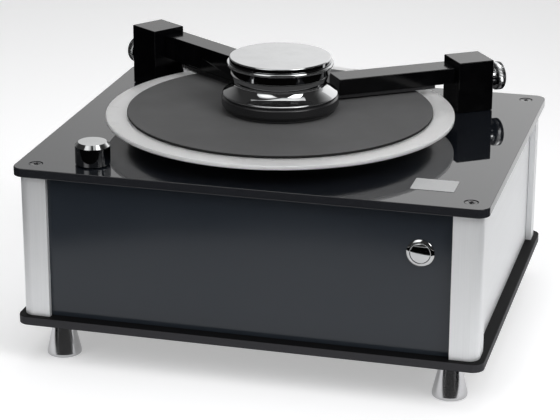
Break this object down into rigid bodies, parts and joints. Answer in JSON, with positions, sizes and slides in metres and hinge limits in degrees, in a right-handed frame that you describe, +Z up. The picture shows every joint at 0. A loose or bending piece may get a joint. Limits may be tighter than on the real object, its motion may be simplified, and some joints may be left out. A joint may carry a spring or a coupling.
{
  "type": "record cleaning machine",
  "caption": "Vacuum record washer with a platter and clamp, a swivelling brush arm, a swivelling suction arm, a selector knob and a power button on a black box with metal corners.",
  "frame": {"origin": "on the ground under the middle of the machine", "axes": "+Z up, +X to the machine's right as its user sees it, -Y towards the user"},
  "size_m": [0.396, 0.322, 0.2413],
  "materials": {
    "gloss_black_acrylic": "polished cast acrylic",
    "satin_black_plastic": "satin",
    "opal_acrylic": "translucent white, satin edge",
    "platter_mat_rubber": "matt",
    "black_rubber": "matt",
    "brushed_aluminium": "brushed and anodised",
    "turned_aluminium": "turned",
    "motor_aluminium": "plain",
    "polished_clamp": "mirror polished",
    "polished_feet": "mirror polished",
    "chromed_controls": "polished",
    "plain_steel": "plain",
    "black_steel": "fine matt paint",
    "black_screws": "blackened",
    "bearing_brass": "turned",
    "black_felt": "short velvet pile",
    "black_bristles": "soft nylon strands",
    "grey_plastic": "moulded"
  },
  "bodies": {
    "housing": {"base_plate": "gloss_black_acrylic", "top_plate": "gloss_black_acrylic", "front_panel": "gloss_black_acrylic", "rear_panel": "black_steel", "side_panel_left": "brushed_aluminium", "side_panel_right": "brushed_aluminium", "column_front_left": "brushed_aluminium", "column_front_right": "brushed_aluminium", "column_rear_left": "brushed_aluminium", "column_rear_right": "brushed_aluminium", "top_screw_front_left": "black_screws", "top_screw_front_right": "black_screws", "top_screw_rear_left": "black_screws", "top_screw_rear_right": "black_screws", "base_screw_front_left": "black_screws", "base_screw_front_right": "black_screws", "base_screw_rear_left": "black_screws", "base_screw_rear_right": "black_screws", "foot_front_left": "polished_feet", "foot_front_right": "polished_feet", "foot_rear_left": "polished_feet", "foot_rear_right": "polished_feet", "foot_pad_front_left": "black_rubber", "foot_pad_front_right": "black_rubber", "foot_pad_rear_left": "black_rubber", "foot_pad_rear_right": "black_rubber", "platter_bearing": "bearing_brass", "gear_motor": "plain_steel", "suction_bush": "bearing_brass", "brush_bush": "bearing_brass", "selector_switch": "satin_black_plastic", "power_bezel": "chromed_controls", "power_switch": "satin_black_plastic", "vacuum_motor": "motor_aluminium", "waste_tank": "grey_plastic", "suction_hose": "black_rubber", "vacuum_hose": "black_rubber", "power_supply": "motor_aluminium", "mains_inlet": "satin_black_plastic"},
    "platter": {"platter_disc": "opal_acrylic", "platter_mat": "platter_mat_rubber", "platter_hub": "turned_aluminium", "platter_spindle": "plain_steel"},
    "clamp": {"clamp_body": "polished_clamp", "clamp_cap": "polished_clamp", "clamp_seal": "black_rubber"},
    "suction_swivel": {"suction_tube": "turned_aluminium"},
    "suction_carrier": {"suction_post": "satin_black_plastic", "suction_arm": "satin_black_plastic", "suction_lips": "black_felt"},
    "suction_lock": {"suction_knob": "chromed_controls"},
    "brush_swivel": {"brush_tube": "turned_aluminium"},
    "brush_carrier": {"brush_post": "satin_black_plastic", "brush_arm": "satin_black_plastic", "brush_head": "black_bristles"},
    "brush_lock": {"brush_knob": "chromed_controls"},
    "selector": {"selector_knob": "chromed_controls", "selector_shaft": "plain_steel"},
    "power": {"power_button": "chromed_controls"},
    "drain_plug": {"drain_cap": "satin_black_plastic"}
  },
  "joints": [
    {"name": "platter_turn", "type": "hinge", "parent": "housing", "child": "platter", "pos_m": [-0.0095, -0.007, 0.1734], "axis": [0, 0, 1], "continuous": true},
    {"name": "clamp_lift", "type": "slide", "parent": "platter", "child": "clamp", "axis": [0, 0, 1], "range_m": [0, 0.09]},
    {"name": "suction_swing", "type": "hinge", "parent": "housing", "child": "suction_swivel", "pos_m": [0.134, 0.1084, 0.1734], "axis": [0, 0, 1], "range_deg": [0, 62]},
    {"name": "suction_height", "type": "slide", "parent": "suction_swivel", "child": "suction_carrier", "axis": [0, 0, 1], "range_m": [0, 0.006]},
    {"name": "suction_lock_turn", "type": "hinge", "parent": "suction_carrier", "child": "suction_lock", "pos_m": [0.14793, 0.11815, 0.1999], "axis": [0.8192, 0.5736, 0], "range_deg": [-180, 180]},
    {"name": "brush_swing", "type": "hinge", "parent": "housing", "child": "brush_swivel", "pos_m": [-0.1565, 0.108, 0.1734], "axis": [0, 0, 1], "range_deg": [-65, 0]},
    {"name": "brush_height", "type": "slide", "parent": "brush_swivel", "child": "brush_carrier", "axis": [0, 0, 1], "range_m": [0, 0.006]},
    {"name": "brush_lock_turn", "type": "hinge", "parent": "brush_carrier", "child": "brush_lock", "pos_m": [-0.17043, 0.11775, 0.1999], "axis": [-0.8192, 0.5736, 0], "range_deg": [-180, 180]},
    {"name": "selector_turn", "type": "hinge", "parent": "housing", "child": "selector", "pos_m": [-0.1358, -0.133, 0.1734], "axis": [0, 0, 1], "range_deg": [-60, 60]},
    {"name": "power_press", "type": "slide", "parent": "housing", "child": "power", "axis": [0, 1, 0], "range_m": [0, 0.0016], "stiffness_N_per_m": 900, "springref_m": -0.001},
    {"name": "drain_cap_off", "type": "slide", "parent": "housing", "child": "drain_plug", "axis": [0, 1, 0], "range_m": [0, 0.02]}
  ]
}
